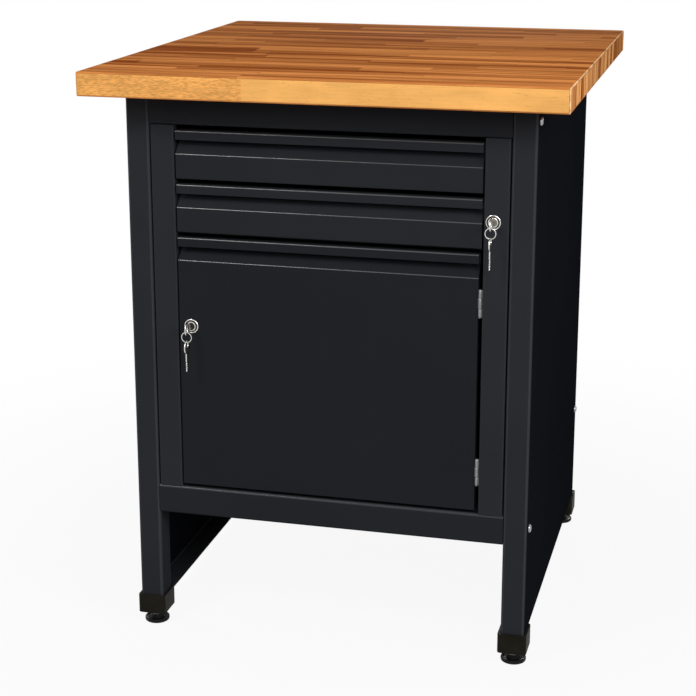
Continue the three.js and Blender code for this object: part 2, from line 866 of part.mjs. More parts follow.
const sides = { left: -1, right: 1 };
const ends = { front: -1, rear: 1 };

piece(bench, 'worktop', worktop(), beech);
for (const [sideName, side] of Object.entries(sides)) {
  piece(bench, `side_frame_${sideName}`, sideFrame(side), frameSteel);
  piece(bench, `cabinet_side_${sideName}`, cabinetSide(side), cabinetSteel);
  piece(bench, `runner_upper_${sideName}`, runner(side, upperDrawerZ), zincSteel);
  piece(bench, `runner_lower_${sideName}`, runner(side, lowerDrawerZ), zincSteel);
  for (const [placeName, [y, z]] of Object.entries(boltPlaces)) {
    const group = groupAt(side * outerX, y, z);
    piece(group, `bolt_${placeName}_${sideName}`, bolt(side), zincSteel);
  }
  for (const [endName, end] of Object.entries(ends)) {
    const legY = end < 0 ? frontY + legDepth / 2 : rearY - legDepth / 2;
    const group = groupAt(side * (outerX - legWidth / 2), legY, 0);
    piece(group, `foot_cap_${endName}_${sideName}`, footCap(), shoePlastic);
    piece(group, `levelling_foot_${endName}_${sideName}`, levellingFoot(), footPlastic);
  }
}
for (const [endName, end] of Object.entries(ends)) {
  piece(bench, `rail_${endName}_top`, rail(end, topRailFootZ), frameSteel);
  piece(bench, `rail_${endName}_bottom`, rail(end, underClearance), frameSteel);
}
piece(bench, 'cabinet_back', cabinetBack(), cabinetSteel);
piece(bench, 'cabinet_floor', cabinetFloor(), cabinetSteel);
piece(bench, 'cabinet_divider', cabinetDivider(), cabinetSteel);

for (const [name, drawerZ] of [['upper', upperDrawerZ], ['lower', lowerDrawerZ]]) {
  const group = groupAt(0, frontY, drawerZ);
  piece(group, `drawer_${name}_front`, gripFront(-frontX, frontX, drawerFrontHeight), frontSteel);
  piece(group, `drawer_${name}_tray`, tray(), cabinetSteel);
}

const doorGroup = groupAt(0, frontY, doorFootZ);
piece(doorGroup, 'door', door(), frontSteel);

const hingeHeights = { upper: doorTopZ - hingeTopInset, lower: doorFootZ + hingeInset };
for (const [name, z] of Object.entries(hingeHeights)) {
  const group = groupAt(openingX - hingeGap / 2, frontY, z);
  piece(group, `hinge_${name}_frame_leaf`, hingeLeaf(1), zincSteel);
  piece(group, `hinge_${name}_door_leaf`, hingeLeaf(-1), zincSteel);
  piece(group, `hinge_${name}_pin`, hingePin(), zincSteel);
}

lock(groupAt(doorLockX, frontY, doorLockZ), 'door', lockCam(camReach, camTipRadius, 0));
lock(groupAt(drawerLockX, frontY, drawerLockZ), 'drawer', drawerLockCam());
piece(bench, 'lock_bar', lockBar(), zincSteel);
piece(bench, 'lock_bar_guide_lower', barGuide(drawerLockZ - guideLowerDrop - barThickness), zincSteel);
piece(bench, 'lock_bar_guide_upper', barGuide(drawerLockZ + guideUpperRise), zincSteel);

export default bench;
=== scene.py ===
import json
import math
import bmesh
import bpy
from mathutils import Euler, Matrix, Vector

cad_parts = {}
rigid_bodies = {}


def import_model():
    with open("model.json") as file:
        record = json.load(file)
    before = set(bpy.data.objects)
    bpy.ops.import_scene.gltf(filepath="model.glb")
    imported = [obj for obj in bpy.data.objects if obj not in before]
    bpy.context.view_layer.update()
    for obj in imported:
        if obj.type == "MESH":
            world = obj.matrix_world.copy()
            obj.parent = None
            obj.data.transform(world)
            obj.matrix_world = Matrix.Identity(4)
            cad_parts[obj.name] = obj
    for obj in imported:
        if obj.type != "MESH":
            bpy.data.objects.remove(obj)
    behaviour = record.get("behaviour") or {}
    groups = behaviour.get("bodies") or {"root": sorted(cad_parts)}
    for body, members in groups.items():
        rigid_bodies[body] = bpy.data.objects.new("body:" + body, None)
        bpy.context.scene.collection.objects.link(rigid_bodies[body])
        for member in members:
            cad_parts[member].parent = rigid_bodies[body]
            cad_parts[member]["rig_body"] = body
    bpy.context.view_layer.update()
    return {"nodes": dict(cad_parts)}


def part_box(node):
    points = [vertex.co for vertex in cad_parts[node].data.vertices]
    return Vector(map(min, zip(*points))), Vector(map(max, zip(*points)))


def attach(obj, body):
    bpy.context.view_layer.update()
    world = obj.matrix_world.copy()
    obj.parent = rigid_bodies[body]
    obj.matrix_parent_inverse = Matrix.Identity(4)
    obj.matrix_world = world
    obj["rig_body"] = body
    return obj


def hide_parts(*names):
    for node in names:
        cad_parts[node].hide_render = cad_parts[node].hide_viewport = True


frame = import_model()
scene = bpy.context.scene

# Levelling feet: a moulded black pad on a zinc-plated hexagon and threaded stem, screwed up into
# the shoe of each leg. Pad and stem are one unit that turns about its own axis.
per_metre = 1000


def wire(tree, kind, settings=None, **inputs):
    """Adds a node, sets its properties, and sets or links its inputs (_0 is the first input)."""
    made = tree.nodes.new(kind)
    for key, value in (settings or {}).items():
        setattr(made, key, value)
    for key, value in inputs.items():
        socket = made.inputs[int(key[1:]) if key[0] == "_" else key.replace("_", " ")]
        if isinstance(value, bpy.types.NodeSocket):
            tree.links.new(value, socket)
        else:
            socket.default_value = value
    return made


def noise(tree, place, scale, detail, distortion=0.0):
    """Soft noise over a place."""
    return wire(
        tree, "ShaderNodeTexNoise", Vector=place, Scale=scale, Detail=detail, Distortion=distortion,
    ).outputs[0]


def ramp(tree, value, start, end, low=0.3, high=0.7):
    """A value taken from one range, which is that of noise unless given, to another."""
    return wire(
        tree, "ShaderNodeMapRange", Value=value, From_Min=low, From_Max=high, To_Min=start, To_Max=end,
    ).outputs[0]


def maths(tree, operation, *values):
    """One operation on numbers or sockets."""
    inputs = {f"_{i}": value for i, value in enumerate(values)}
    return wire(tree, "ShaderNodeMath", {"operation": operation}, **inputs).outputs[0]


def scaled(tree, colour, gain):
    """A colour or place times a number."""
    return wire(tree, "ShaderNodeVectorMath", {"operation": "SCALE"}, _0=colour, Scale=gain).outputs[0]


def bumped(tree, height, strength, distance):
    """A normal raised by a height."""
    return wire(tree, "ShaderNodeBump", Height=height, Strength=strength, Distance=distance).outputs[0]


def object_place(tree):
    """The place on the object."""
    return wire(tree, "ShaderNodeTexCoord").outputs["Object"]


def spin(bm, profile, segments, where, slot=0):
    """Turns radius and height pairs, in millimetres, about the Z axis of a place."""
    rings = []
    for radius, height in profile:
        ring = []
        for i in range(segments if radius else 1):
            angle = 2 * math.pi * i / segments
            point = Vector((radius * math.cos(angle), radius * math.sin(angle), height)) / per_metre
            ring.append(bm.verts.new(where @ point))
        rings.append(ring)
    for low, high in zip(rings, rings[1:]):
        for i in range(segments):
            j = (i + 1) % segments
            corners = [low[i % len(low)], low[j % len(low)], high[j % len(high)], high[i % len(high)]]
            corners = list(dict.fromkeys(corners))
            if len(corners) > 2:
                bm.faces.new(corners).material_index = slot


def mesh_of(name, bm, finishes=()):
    """Turns a working mesh into a mesh with finishes."""
    mesh = bpy.data.meshes.new(name)
    bm.to_mesh(mesh)
    bm.free()
    for finish in finishes:
        mesh.materials.append(finish)
    return mesh


def closed_mesh(name, bm, finishes=()):
    """Welds a mesh, turns its faces outwards and smooths all but its creases."""
    weld = 1e-7
    crease = 0.6
    bmesh.ops.remove_doubles(bm, verts=bm.verts, dist=weld)
    bmesh.ops.recalc_face_normals(bm, faces=bm.faces)
    for face in bm.faces:
        face.smooth = True
    for edge in bm.edges:
        if len(edge.link_faces) == 2 and edge.calc_face_angle() > crease:
            edge.smooth = False
    return mesh_of(name, bm, finishes)


def linked(name, data):
    """A new object in the scene."""
    item = bpy.data.objects.new(name, data)
    scene.collection.objects.link(item)
    return item


def placed(name, mesh, body, nodes):
    """A finished piece that rides a body and stands for its solids, if any."""
    item = linked(name, mesh)
    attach(item, body)
    if nodes:
        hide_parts(*nodes)


def piece(name, bm, finishes, body, nodes):
    """Closes a working mesh into a finished piece."""
    placed(name, closed_mesh(name, bm, finishes), body, nodes)


def cleared(data):
    """The empty node tree of a material or world."""
    data.use_nodes = True
    data.node_tree.nodes.clear()
    return data.node_tree


def shader(name, **values):
    """A material with one Principled shader; returns it with its tree and shader."""
    material = bpy.data.materials.new(name)
    tree = cleared(material)
    principled = wire(tree, "ShaderNodeBsdfPrincipled", **values)
    wire(tree, "ShaderNodeOutputMaterial", Surface=principled.outputs[0])
    return material, tree, principled


def surface_group(name, colours, numbers=(), more=()):
    """A group for colour, roughness, normal and more numbers; returns it, its inputs and the place."""
    group = bpy.data.node_groups.new(name, "ShaderNodeTree")
    for direction, kind, names in (
        ("INPUT", "NodeSocketColor", colours),
        ("INPUT", "NodeSocketFloat", numbers),
        ("OUTPUT", "NodeSocketColor", ("Color",)),
        ("OUTPUT", "NodeSocketFloat", ("Roughness",)),
        ("OUTPUT", "NodeSocketVector", ("Normal",)),
        ("OUTPUT", "NodeSocketFloat", more),
    ):
        for socket in names:
            group.interface.new_socket(socket, in_out=direction, socket_type=kind)
    return group, wire(group, "NodeGroupInput").outputs, object_place(group)


def finish_of(name, group, values, **settings):
    """A material whose shader takes all that a group puts out for some values."""
    targets = {"Color": "Base Color", "Shine": "Coat Weight"}
    material, tree, principled = shader(name, **settings)
    surface = wire(tree, "ShaderNodeGroup", {"node_tree": group}, **values)
    for output in surface.outputs:
        tree.links.new(output, principled.inputs[targets.get(output.name, output.name)])
    return material


# Moulded plastic: fine grain, small variation in tone and gloss.
moulded, given, place = surface_group("moulded_grain", ["Tone"])
grain = noise(moulded, place, 1400.0, 3.0)
cloud = noise(moulded, place, 45.0, 3.0)
wire(
    moulded, "NodeGroupOutput",
    Color=scaled(moulded, given["Tone"], ramp(moulded, cloud, 0.8, 1.25)),
    Roughness=ramp(moulded, grain, 0.45, 0.62),
    Normal=bumped(moulded, grain, 0.3, 0.0002),
)


def plastic(name, tone, specular):
    """A moulded plastic of one tone."""
    return finish_of(name, moulded, {"Tone": (*tone, 1)}, Specular_IOR_Level=specular)


# Plated metal: fine grain and hazy patches in the plating.
plating, given, place = surface_group("plating_haze", ["Tone"], ["Smoothest"])
haze = noise(plating, place, 260.0, 4.0)
scratch = noise(plating, place, 2600.0, 2.0)
wire(
    plating, "NodeGroupOutput",
    Color=scaled(plating, given["Tone"], ramp(plating, haze, 0.82, 1.08)),
    Roughness=maths(plating, "ADD", given["Smoothest"], ramp(plating, haze, 0.0, 0.16, 0.35, 0.75)),
    Normal=bumped(plating, scratch, 0.08, 0.0001),
)


def plated(name, tone, smoothest):
    """A plated metal of one tone, with its lowest roughness."""
    return finish_of(name, plating, {"Tone": (*tone, 1), "Smoothest": smoothest}, Metallic=1.0)


black_plastic = plastic("black_pad_plastic", (0.0042, 0.0042, 0.0045), 0.12)
dark_steel = plated("foot_zinc", (0.17, 0.165, 0.16), 0.34)
sides = {"left": -1, "right": 1}
leg_x = 0.2825
leg_rows = {"front": -0.295, "rear": 0.265}
pad = [
    (0, 0), (17.4, 0), (18.5, 0.7), (19, 2), (19, 5.0), (18.6, 5.7), (17.8, 6.0), (17.0, 5.8), (16.4, 5.3),
    (15.2, 4.5), (14.6, 4.4), (11.4, 4.4), (10.5, 4.9), (9.6, 8.6), (9, 10), (0, 10),
]
hexagon = [(0, 9.5), (7.9, 9.5), (8.6, 10.3), (8.6, 16.3), (7.9, 17), (0, 17)]
thread_root, thread_crest, thread_pitch, thread_turns = 4.3, 5.0, 1.5, 19
stem_foot, first_crest, first_root, stem_head = 16.5, 17.2, 17.95, 46.8
stem = [(0, stem_foot), (thread_root, stem_foot)]
for turn in range(thread_turns):
    rise = turn * thread_pitch
    stem += [(thread_crest, first_crest + rise), (thread_root, first_root + rise)]
stem += [(thread_root, stem_head), (0, stem_head)]
for end, y in leg_rows.items():
    for side, sign in sides.items():
        axis = Matrix.Translation((sign * leg_x, y, 0))
        bm = bmesh.new()
        spin(bm, pad, 48, axis)
        spin(bm, hexagon, 6, axis, 1)
        spin(bm, stem, 24, axis, 1)
        name = f"levelling_foot_{end}_{side}"
        piece(
            f"{name}_screw", bm, [black_plastic, dark_steel], f"foot_{end}_{side}", [name],
        )

# Foot shoes: moulded brownish-black plastic caps pushed over the ends of the legs, with a boss
# inside that holds the thread of the levelling foot. Their outer edges are rounded in the mould.
def baked(carrier):
    """The final mesh of an object, which is then removed."""
    bpy.context.view_layer.update()
    final = carrier.evaluated_get(bpy.context.evaluated_depsgraph_get())
    mesh = bpy.data.meshes.new_from_object(final)
    bpy.data.objects.remove(carrier)
    return mesh


def dressed_copy(node, finishes, prepare):
    """A smooth copy of a solid, prepared by a function, that stands for it on its body."""
    weld = 1e-6
    flatness = 0.01
    crease = 0.8
    solid = frame["nodes"][node]
    bm = bmesh.new()
    bm.from_mesh(solid.data)
    bmesh.ops.remove_doubles(bm, verts=bm.verts, dist=weld)
    bmesh.ops.dissolve_limit(bm, angle_limit=flatness, verts=bm.verts, edges=bm.edges)
    prepare(bm)
    for face in bm.faces:
        face.smooth = True
    for edge in bm.edges:
        edge.smooth = len(edge.link_faces) == 2 and edge.calc_face_angle() < crease
    carrier = linked(node + "_raw", mesh_of(node, bm, finishes))
    weighted = carrier.modifiers.new("flat_faces", "WEIGHTED_NORMAL")
    weighted.keep_sharp = True
    weighted.weight = 100
    placed(node + "_dressed", baked(carrier), solid["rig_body"], [node])


def round_edges(bm):
    """Rounds every sharp edge."""
    sharp_angle = 0.9
    rounding = 0.0012
    sharp = [e for e in bm.edges if len(e.link_faces) == 2 and e.calc_face_angle() > sharp_angle]
    bmesh.ops.bevel(
        bm, geom=sharp, offset=rounding, segments=3, profile=0.5, affect="EDGES", clamp_overlap=True,
    )


shoe_plastic = plastic("shoe_plastic", (0.0096, 0.0086, 0.0054), 0.05)
for end in leg_rows:
    for side in sides:
        dressed_copy(f"foot_cap_{end}_{side}", [shoe_plastic], round_edges)

# Frame: two folded side frames, each with two boxed legs and a panel in one sheet, joined by four
# folded rails. Powder coated in matt anthracite; both faces of the side sheets take a darker copy of
# the coat as painted shade. The coat has a faint orange peel and is glossier along the bends, where
# its lighter colour is a painted highlight, strongest where the bends face up.
def blended(tree, share, first, second):
    """A mix of two colours."""
    return wire(tree, "ShaderNodeMix", {"data_type": "RGBA"}, _0=share, _6=first, _7=second).outputs[2]


def between(tree, share, first, second):
    """A mix of two numbers."""
    return wire(tree, "ShaderNodeMix", _0=share, _2=first, _3=second).outputs[0]


coat, given, place = surface_group(
    "powder_coat", ["Tone", "Bend Tone"], ["Matt", "Bend Gloss", "Bend Shine"], ["Shine"],
)
bend_and_highlight = wire(coat, "ShaderNodeAttribute", {"attribute_name": "fold_and_highlight"}).outputs["Fac"]
peel = noise(coat, place, 620.0, 2.0)
fleck = noise(coat, place, 2400.0, 1.0)
cloud = noise(coat, place, 5.0, 4.0)
gain = maths(coat, "MULTIPLY", ramp(coat, cloud, 0.92, 1.08), ramp(coat, fleck, 0.9, 1.1))
gloss = between(coat, bend_and_highlight, given["Matt"], given["Bend Gloss"])
wire(
    coat, "NodeGroupOutput",
    Color=scaled(coat, blended(coat, bend_and_highlight, given["Tone"], given["Bend Tone"]), gain),
    Roughness=maths(coat, "ADD", gloss, ramp(coat, cloud, -0.04, 0.04)),
    Normal=bumped(coat, peel, 0.10, 0.0003),
    Shine=maths(coat, "MULTIPLY", bend_and_highlight, given["Bend Shine"]),
)


def coated(name, tone, bend_tone, matt, specular, bend_shine):
    """A powder coat with its tone, gloss and shine on flat sheet and on bends; the bend tone is a painted
    highlight.
    """
    values = {
        "Tone": (*tone, 1), "Bend_Tone": (*bend_tone, 1),
        "Matt": matt, "Bend_Gloss": 0.45, "Bend_Shine": bend_shine,
    }
    return finish_of(
        name, coat, values, Specular_IOR_Level=specular, Coat_Roughness=0.18, Coat_IOR=1.5,
    )


def mark_bends(bm):
    """Marks bends for the coat: most where they face up, a little where upright, none below. The mark
    lightens them as a painted highlight and makes them glossier.
    """
    least_angle, most_angle = 0.2, 0.8
    widest_strip = 0.0022
    upright_share, upward_share = 0.25, 2.0
    fold_and_highlight = bm.faces.layers.float.new("fold_and_highlight")
    for face in bm.faces:
        angles = [e.calc_face_angle() for e in face.edges if len(e.link_faces) == 2]
        longest = max(e.calc_length() for e in face.edges)
        bent = any(least_angle < angle < most_angle for angle in angles)
        if bent and face.calc_area() / longest < widest_strip:
            face[fold_and_highlight] = min(1.0, max(0.0, upright_share + upward_share * face.normal.z))


def mark_sides(bm):
    """Marks bends in full, and gives both faces of the side sheet the second finish, a darker copy of the
    coat as painted shade.
    """
    sideways = 0.95
    sheet_x = 0.29
    mark_bends(bm)
    fold_and_highlight = bm.faces.layers.float["fold_and_highlight"]
    for face in bm.faces:
        if face[fold_and_highlight] > 0:
            face[fold_and_highlight] = 1
        if abs(face.normal.x) > sideways and abs(face.calc_center_median().x) > sheet_x:
            face.material_index = 1


# Bend tones, lighter than the sheet tones, are painted highlights along the bends.
frame_bend_highlight = (0.036, 0.038, 0.042)
frame_coat = coated("frame_coat", (0.0220, 0.0236, 0.0268), frame_bend_highlight, 0.88, 0.005, 0.04)
# The side sheets take a darker copy of the frame coat: painted shade.
side_shade_coat = coated("side_shade_coat", (0.0086, 0.0095, 0.0124), (0.020, 0.021, 0.024), 0.88, 0.0, 0.04)
for side in sides:
    dressed_copy(f"side_frame_{side}", [frame_coat, side_shade_coat], mark_sides)
rail_coat = coated("rail_coat", (0.0178, 0.0192, 0.0222), frame_bend_highlight, 0.88, 0.005, 0.30)
for end in leg_rows:
    for level in ("bottom", "top"):
        dressed_copy(f"rail_{end}_{level}", [rail_coat], mark_bends)

# Bolts: zinc-plated button heads with a hexagon socket, through each leg into the weld nuts of the
# rails. Eight alike, set out with one instancing tree.
def set_out(name, spots, master, finish, nodes):
    """Sets copies of one mesh at places and turns, realised into one piece of the bench."""
    base = bpy.data.meshes.new(name + "_spots")
    base.from_pydata([spot for spot, _ in spots], [], [])
    turns = base.attributes.new("turn", "FLOAT_VECTOR", "POINT")
    for i, (_, turn) in enumerate(spots):
        turns.data[i].vector = turn
    carrier = linked(name + "_spots", base)
    tree = bpy.data.node_groups.new(name + "_tree", "GeometryNodeTree")
    for socket, direction, kind in (
        ("Geometry", "INPUT", "NodeSocketGeometry"),
        ("Part", "INPUT", "NodeSocketObject"),
        ("Finish", "INPUT", "NodeSocketMaterial"),
        ("Size", "INPUT", "NodeSocketFloat"),
        ("Geometry", "OUTPUT", "NodeSocketGeometry"),
    ):
        tree.interface.new_socket(socket, in_out=direction, socket_type=kind)
    given = wire(tree, "NodeGroupInput").outputs
    part = wire(tree, "GeometryNodeObjectInfo", {"transform_space": "ORIGINAL"}, Object=given["Part"])
    angle = wire(tree, "GeometryNodeInputNamedAttribute", {"data_type": "FLOAT_VECTOR"}, Name="turn")
    rotation = wire(tree, "FunctionNodeEulerToRotation", _0=angle.outputs[0])
    copies = wire(
        tree, "GeometryNodeInstanceOnPoints", Points=given["Geometry"],
        Instance=part.outputs["Geometry"], Rotation=rotation.outputs[0], Scale=given["Size"],
    )
    real = wire(tree, "GeometryNodeRealizeInstances", Geometry=copies.outputs[0])
    dressed = wire(tree, "GeometryNodeSetMaterial", Geometry=real.outputs[0], Material=given["Finish"])
    wire(tree, "NodeGroupOutput", Geometry=dressed.outputs[0])
    modifier = carrier.modifiers.new("copies", "NODES")
    modifier.node_group = tree
    keys = {item.name: item.identifier for item in tree.interface.items_tree if item.in_out == "INPUT"}
    modifier[keys["Part"]] = master
    modifier[keys["Finish"]] = finish
    modifier[keys["Size"]] = 1.0
    mesh = baked(carrier)
    bpy.data.objects.remove(master)
    mesh.name = name
    mesh.materials.clear()
    mesh.materials.append(finish)
    placed(name, mesh, "bench", nodes)


def button_head(name, shank):
    """A button head with a hexagon socket, on a plain shank of a length in millimetres."""
    segments = 36
    rim_radius, rim_height = 0.003, 0.0035
    socket_reach, brink_height, deep_height = 2.0, 0.0034, 0.0016
    bm = bmesh.new()
    spin(bm, [
        (0, -shank), (3, -shank), (3, 0), (5.8, 0), (6, 0.2), (6, 1.1), (5.85, 1.6), (5.4, 2.4),
        (4.6, 3.1), (3.7, 3.5), (2.9, 3.6), (2.6, 3.5),
    ], segments, Matrix.Identity(4))
    rim = [v for v in bm.verts if abs(v.co.z - rim_height) < 1e-6 and v.co.xy.length < rim_radius]
    rim.sort(key=lambda v: math.atan2(v.co.y, v.co.x) % (2 * math.pi))
    socket = []
    for i in range(segments):
        angle = 2 * math.pi * i / segments
        off_flat = (angle + math.pi / 6) % (math.pi / 3) - math.pi / 6
        reach = socket_reach / math.cos(off_flat) / per_metre
        socket.append((reach * math.cos(angle), reach * math.sin(angle)))
    brink = [bm.verts.new((x, y, brink_height)) for x, y in socket]
    deep = [bm.verts.new((x, y, deep_height)) for x, y in socket]
    for i in range(segments):
        j = (i + 1) % segments
        bm.faces.new((rim[i], rim[j], brink[j], brink[i]))
        bm.faces.new((brink[i], brink[j], deep[j], deep[i]))
    bm.faces.new(deep)
    return linked(name, closed_mesh(name, bm))


leg_face = 0.3
rail_heights = {"top": 0.8125, "bottom": 0.2125}
bolt_shank = 44.3
bolts = {
    f"bolt_{end}_{level}_{side}": ((sign * leg_face, y, z), (0, sign * math.pi / 2, 0))
    for end, y in leg_rows.items() for level, z in rail_heights.items() for side, sign in sides.items()
}
bolt_zinc = plated("bolt_zinc", (0.33, 0.33, 0.34), 0.26)
set_out("frame_bolts", list(bolts.values()), button_head("bolt", bolt_shank), bolt_zinc, list(bolts))

# Cabinet: folded sheet walls with stiles in front, back, floor and divider, spot welded and coated
# like the frame; it stands on the bottom rails between the legs.
# The cabinet coat's lighter bend tone is a painted highlight along the bends.
cabinet_coat = coated(
    "cabinet_coat", (0.0218, 0.0234, 0.0268), (0.038, 0.040, 0.044), 0.82, 0.02, 0.08,
)
for part in ("side_left", "side_right", "back", "floor", "divider"):
    dressed_copy(f"cabinet_{part}", [cabinet_coat], mark_bends)

# Back rivets: dome-headed blind rivets that hold the back to the rear flanges of the two side walls,
# set in a column up each flange.
rivet_x, lowest_rivet, rivet_pitch, rivets_up = 0.2555, 0.27, 0.096, 6
bm = bmesh.new()
spin(bm, [
    (0, -1.0), (2.6, -1.0), (3.0, -0.2), (2.95, 0.3), (2.6, 0.8), (1.9, 1.2), (1.1, 1.35), (0.9, 1.2),
    (0.8, 0.7), (0, 0.6),
], 20, Matrix.Identity(4))
wall_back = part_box("cabinet_side_left")[1][1]
spots = [
    ((sign * rivet_x, wall_back, lowest_rivet + rivet_pitch * i), (-math.pi / 2, 0, 0))
    for sign in sides.values() for i in range(rivets_up)
]
rivet_zinc = plated("rivet_zinc", (0.20, 0.20, 0.21), 0.34)
set_out("back_rivets", spots, linked("rivet", closed_mesh("rivet", bm)), rivet_zinc, [])

# Drawers and door: trays folded from thin sheet, and fronts that are one sheet each, folded to a
# finger grip along the top with closed ends. The door's coat is a darker copy: painted shade.
# The lighter bend tone paints highlights along the bends of the fronts and the door.
front_bend_highlight = (0.040, 0.042, 0.045)
front_coat = coated("front_coat", (0.0148, 0.0160, 0.0187), front_bend_highlight, 0.66, 0.06, 1.0)
# The door coat is a darker copy of the front coat: painted shade.
door_shade_coat = coated("door_shade_coat", (0.0110, 0.0119, 0.0146), front_bend_highlight, 0.66, 0.06, 1.0)
for drawer in ("drawer_upper", "drawer_lower"):
    dressed_copy(f"{drawer}_tray", [cabinet_coat], mark_bends)
    dressed_copy(f"{drawer}_front", [front_coat], mark_bends)
dressed_copy("door", [door_shade_coat], mark_bends)

# Runners and inner lock pieces: zinc-plated pressings inside the cabinet, spot welded or riveted to
# its walls; the lock bar slides in its two guides.
def refinish(node, finish):
    """Gives a solid that is shown as it is its finish."""
    mesh = frame["nodes"][node].data
    mesh.materials.clear()
    mesh.materials.append(finish)


zinc = plated("zinc_plate", (0.42, 0.43, 0.45), 0.32)
for node in (
    *(f"runner_{level}_{side}" for level in ("upper", "lower") for side in sides),
    *(f"{lock}_lock_{part}" for lock in ("door", "drawer") for part in ("nut", "cam")),
    "lock_bar", "lock_bar_guide_lower", "lock_bar_guide_upper",
):
    refinish(node, zinc)

# Hinges: two leaves each, rolled from strip round a riveted pin, one on the stile and one on the edge
# of the door. Dull zinc plate.
def fill_box(bm, low, high, where=Matrix.Identity(4)):
    """A block between two corners, at a place."""
    for vert in bmesh.ops.create_cube(bm, size=1.0)["verts"]:
        share = vert.co + Vector((0.5, 0.5, 0.5))
        vert.co = where @ Vector((a + (b - a) * c for a, b, c in zip(low, high, share)))


def strip(bm, low, high, where):
    """A flat strip between two corners, in millimetres, at a place."""
    fill_box(bm, Vector(low) / per_metre, Vector(high) / per_metre, where)


front_face = -0.315
hinge_x = 0.2245
hinge_heights = {"upper": 0.553, "lower": 0.300}
leaf_near, leaf_far = 1.8, 3.0
leaf_half, leaf_start, leaf_width = 20, 2.9, 13
wrap_start, wrap_end = 0.5, 3.0
end_knuckle, middle_knuckle = 8, 7.7
pin = [
    (0, -21.1), (1.6, -21.1), (2.15, -20.75), (2.2, -20.4), (2.0, -20.3), (1.45, -20.3), (1.45, 20.3),
    (2.0, 20.3), (2.2, 20.4), (2.15, 20.75), (1.6, 21.1), (0, 21.1),
]
hinge_zinc = plated("hinge_zinc", (0.245, 0.245, 0.25), 0.34)
for level, z in hinge_heights.items():
    axis = Matrix.Translation((hinge_x, front_face, z))
    for leaf, sign, knuckles, body in (
        ("frame_leaf", 1, ((-leaf_half, -end_knuckle), (end_knuckle, leaf_half)), "bench"),
        ("door_leaf", -1, ((-middle_knuckle, middle_knuckle),), "door_leaf"),
    ):
        bm = bmesh.new()
        inner, outer = sorted((sign * leaf_far, sign * leaf_near))
        strip(bm, (inner, leaf_start, -leaf_half), (outer, leaf_width, leaf_half), axis)
        for low, high in knuckles:
            strip(bm, (inner, wrap_start, low), (outer, wrap_end, high), axis)
            spin(bm, [
                (1.6, low), (1.8, low), (2.3, low + 0.5), (2.45, low + 1.2), (2.45, high - 1.2),
                (2.3, high - 0.5), (1.8, high), (1.6, high), (1.6, low),
            ], 28, axis)
        nodes = [f"hinge_{level}_{leaf}"]
        if leaf == "frame_leaf":
            spin(bm, pin, 24, axis)
            nodes.append(f"hinge_{level}_pin")
        piece(f"hinge_{level}_{leaf}_rolled", bm, [hinge_zinc], body, nodes)

# Cam locks: a nickel-plated housing with a stepped bezel pressed over the sheet, and a plug with the
# key slot that turns in it.
nickel = plated("nickel_plate", (0.72, 0.71, 0.68), 0.10)
# The tarnish finish is on the door plug, and in the bezel groove as partly oxide, partly painted shade.
tarnish_and_shade = plated("tarnished_nickel_and_shade", (0.060, 0.050, 0.042), 0.26)
worn_nickel = plated("worn_nickel", (0.30, 0.285, 0.25), 0.24)
housing = [
    (5.7, -17), (5.7, 3.1), (5.9, 3.4), (6.7, 3.4), (7.1, 3.2), (7.3, 2.8), (7.3, 0.5), (7.6, 0.3),
    (8.6, 0.3), (8.9, 0.6), (9.0, 1.4), (9.3, 2.0), (9.7, 2.2), (10.2, 2.1), (10.7, 1.7), (11, 1.0),
    (11, 0.05), (10.9, 0), (8, 0), (8, -17), (5.7, -17),
]
groove_inner, groove_outer, groove_floor = 7.25, 9.05, 0.2
locks = {
    "door": (-0.2065, 0.4905, "door_leaf", tarnish_and_shade),
    "drawer": (0.241, 0.6715, "bench", worn_nickel),
}
for lock, (x, z, body, plug_finish) in locks.items():
    forward = Matrix.Translation((x, front_face, z)) @ Euler((math.pi / 2, 0, 0)).to_matrix().to_4x4()
    bm = bmesh.new()
    spin(bm, housing, 64, forward)
    # Faces in the bezel's groove take the tarnish finish: partly oxide, partly painted shade in the
    # recess.
    for face in bm.faces:
        middle = forward.inverted() @ face.calc_center_median() * per_metre
        if groove_inner < middle.xy.length < groove_outer and middle.z > groove_floor:
            face.material_index = 1
    piece(f"{lock}_lock_bezel", bm, [nickel, tarnish_and_shade], body, [f"{lock}_lock_housing"])
    refinish(f"{lock}_lock_plug", plug_finish)

# Keys: flat blanks stamped from nickel-plated steel, one in each lock and a spare on a split ring
# that hangs through the bow of the first.
def flat_key(name):
    """A key cut from a plate with softened edges, blade towards +X, drawn in millimetres."""
    bow_radius, bow_centre = 9.7, -19.5
    hole_radius, hole_centre = 4.9, -23.5
    half_blade, cut_edge = 3.45, -1.85
    cut_pitch, cuts = 3.6, 4
    bow_steps, hole_steps = 48, 40
    curve = bpy.data.curves.new(name, "CURVE")
    curve.dimensions = "2D"
    curve.fill_mode = "BOTH"
    curve.extrude = 0.0006
    curve.bevel_depth = 0.0003
    curve.bevel_resolution = 1
    neck = math.asin(half_blade / bow_radius)
    sweep = [neck + (2 * math.pi - 2 * neck) * i / bow_steps for i in range(bow_steps + 1)]
    edge = [(bow_centre + bow_radius * math.cos(a), bow_radius * math.sin(a)) for a in sweep]
    for i in range(1, cuts + 1):
        edge += [(cut_pitch * i - cut_pitch / 2, -half_blade), (cut_pitch * i, cut_edge)]
    edge += [(16.2, -half_blade), (17.7, -1.9), (17.7, 2.6), (16.9, half_blade)]
    round_hole = [2 * math.pi * i / hole_steps for i in range(hole_steps)]
    hole = [(hole_centre + hole_radius * math.cos(-a), hole_radius * math.sin(-a)) for a in round_hole]
    for line in (edge, hole):
        spline = curve.splines.new("POLY")
        spline.points.add(len(line) - 1)
        for point, (u, v) in zip(spline.points, line):
            point.co = (u / per_metre, v / per_metre, 0, 1)
        spline.use_cyclic_u = True
    return baked(linked(name, curve))


